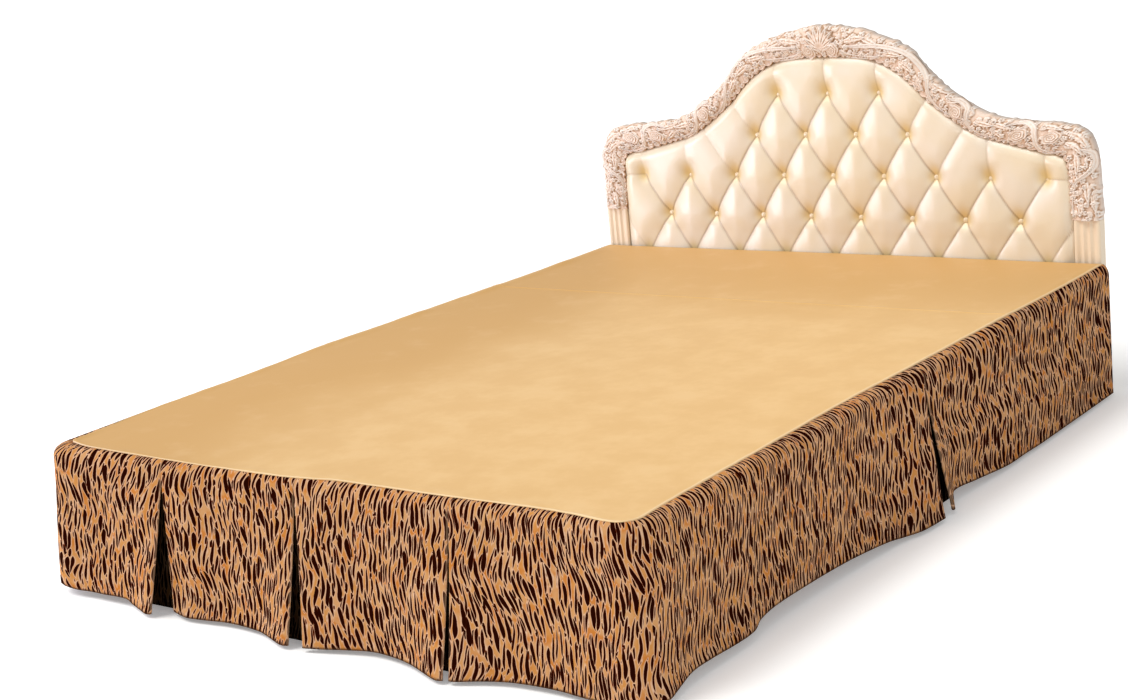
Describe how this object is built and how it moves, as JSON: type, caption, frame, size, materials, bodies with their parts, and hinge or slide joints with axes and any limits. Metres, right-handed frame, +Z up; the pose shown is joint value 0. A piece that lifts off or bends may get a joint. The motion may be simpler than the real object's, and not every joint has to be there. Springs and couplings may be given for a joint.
{
  "type": "bed skirt on a bed with a headboard",
  "caption": "Striped bed skirt with a plain gold top cloth, inverted pleats and a wavy hem, fitted on a low bed whose arched headboard is button-tufted in a carved frame.",
  "frame": {"origin": "on the floor under the middle of the bed, centre of the bounding box's bottom", "axes": "+X to the right seen from the foot of the bed, +Y towards the headboard, +Z up"},
  "size_m": [1.5901, 2.1372, 0.938],
  "materials": {
    "gold_cloth": "soft satin",
    "striped_cloth": "satin print",
    "bed_cover": "matt",
    "dark_wood": "satin",
    "painted_wood": "satin paint",
    "board_leather": "pearl"
  },
  "bodies": {
    "root": {"platform_main": "gold_cloth", "platform_head": "gold_cloth", "drop_side_left": "striped_cloth", "drop_corner_left": "striped_cloth", "drop_foot_left": "striped_cloth", "drop_foot_right": "striped_cloth", "drop_corner_right": "striped_cloth", "drop_side_right": "striped_cloth", "pleat_back_side_left": "striped_cloth", "pleat_back_foot_1": "striped_cloth", "pleat_back_foot_2": "striped_cloth", "pleat_back_foot_3": "striped_cloth", "pleat_back_side_right": "striped_cloth", "box_spring": "bed_cover", "bed_frame": "dark_wood", "leg_1": "dark_wood", "leg_2": "dark_wood", "leg_3": "dark_wood", "leg_4": "dark_wood", "leg_5": "dark_wood", "leg_6": "dark_wood", "headboard_crest": "painted_wood", "headboard_post_left": "painted_wood", "headboard_post_right": "painted_wood", "headboard_rail": "painted_wood", "headboard_panel": "board_leather"}
  },
  "joints": []
}
